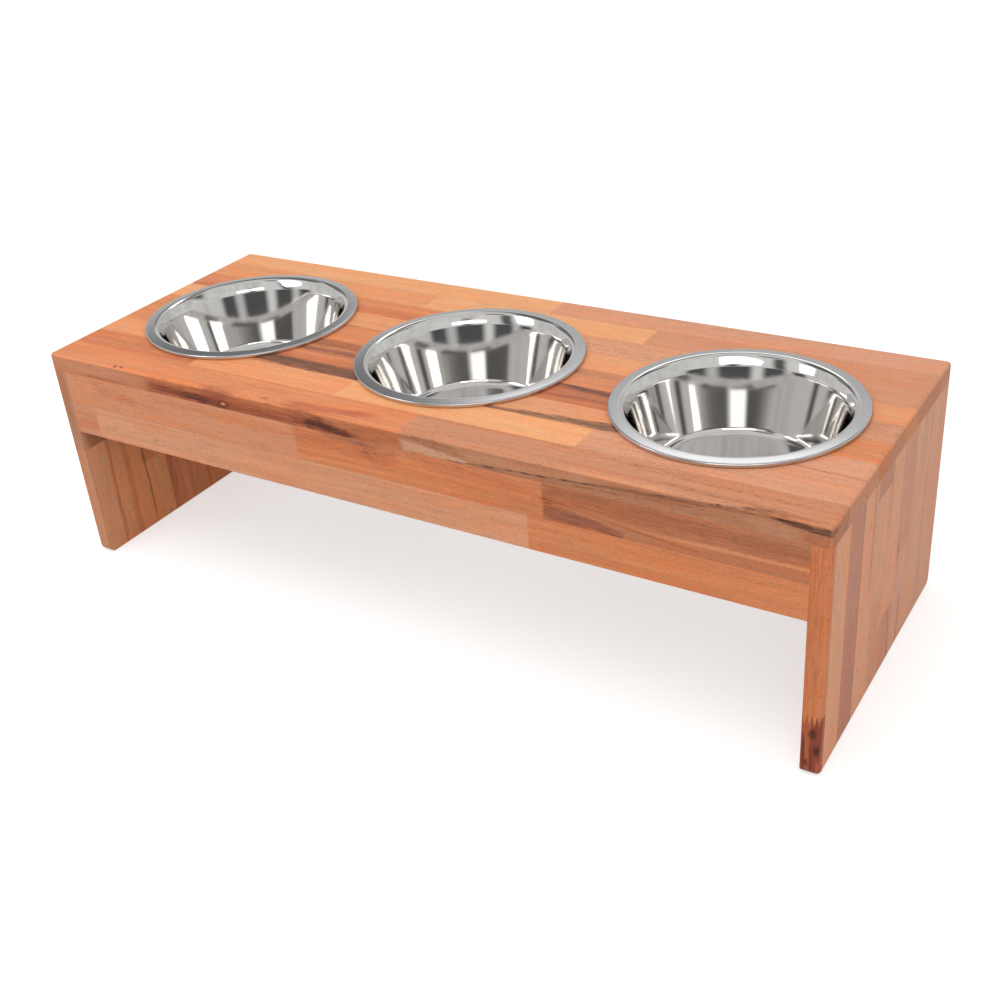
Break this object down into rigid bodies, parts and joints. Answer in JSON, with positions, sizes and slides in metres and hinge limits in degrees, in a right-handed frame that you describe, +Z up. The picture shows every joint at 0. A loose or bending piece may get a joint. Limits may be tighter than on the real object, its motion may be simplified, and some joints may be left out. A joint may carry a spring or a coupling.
{
  "type": "dog bowl stand",
  "caption": "Low hardwood bench of finger-jointed staves that holds lift-out steel feeding bowls in round holes in its top.",
  "frame": {"origin": "on the floor, under the middle of the top board", "axes": "+X along the stand to the right as seen from the front, +Y from front to back, +Z up"},
  "size_m": [0.9, 0.342, 0.2654],
  "materials": {
    "beech_pale": "oiled satin, light tan",
    "beech_orange": "oiled satin, orange",
    "beech_red": "oiled satin, red heartwood",
    "beech_brown": "oiled satin, brown heartwood",
    "dowel_beech": "raw turned dowel",
    "polished_steel": "polished inside, satin flange"
  },
  "bodies": {
    "stand": {"top_stave_1": "beech_red", "top_stave_2": "beech_pale", "top_stave_3": "beech_orange", "top_stave_4": "beech_brown", "top_stave_5": "beech_orange", "top_stave_6": "beech_pale", "top_stave_7": "beech_red", "top_stave_8": "beech_orange", "top_stave_9": "beech_pale", "left_leg_stave_1": "beech_brown", "left_leg_stave_2": "beech_orange", "left_leg_stave_3": "beech_orange", "left_leg_stave_4": "beech_red", "left_leg_stave_5": "beech_pale", "left_leg_stave_6": "beech_orange", "left_leg_stave_7": "beech_red", "left_leg_stave_8": "beech_pale", "left_leg_stave_9": "beech_orange", "right_leg_stave_1": "beech_orange", "right_leg_stave_2": "beech_pale", "right_leg_stave_3": "beech_brown", "right_leg_stave_4": "beech_pale", "right_leg_stave_5": "beech_red", "right_leg_stave_6": "beech_pale", "right_leg_stave_7": "beech_brown", "right_leg_stave_8": "beech_pale", "right_leg_stave_9": "beech_orange", "right_leg_stave_10": "beech_red", "front_apron_lower_stave": "beech_pale", "front_apron_upper_stave": "beech_red", "back_apron_lower_stave": "beech_orange", "back_apron_upper_stave": "beech_pale", "left_leg_dowels": "dowel_beech", "right_leg_dowels": "dowel_beech", "front_apron_top_dowels": "dowel_beech", "front_apron_left_dowels": "dowel_beech", "front_apron_right_dowels": "dowel_beech", "back_apron_top_dowels": "dowel_beech", "back_apron_left_dowels": "dowel_beech", "back_apron_right_dowels": "dowel_beech"},
    "left_bowl_body": {"left_bowl": "polished_steel"},
    "middle_bowl_body": {"middle_bowl": "polished_steel"},
    "right_bowl_body": {"right_bowl": "polished_steel"}
  },
  "joints": [
    {"name": "left_bowl_lift", "type": "slide", "parent": "stand", "child": "left_bowl_body", "axis": [0, 0, 1], "range_m": [0, 0.1]},
    {"name": "middle_bowl_lift", "type": "slide", "parent": "stand", "child": "middle_bowl_body", "axis": [0, 0, 1], "range_m": [0, 0.1]},
    {"name": "right_bowl_lift", "type": "slide", "parent": "stand", "child": "right_bowl_body", "axis": [0, 0, 1], "range_m": [0, 0.1]}
  ]
}
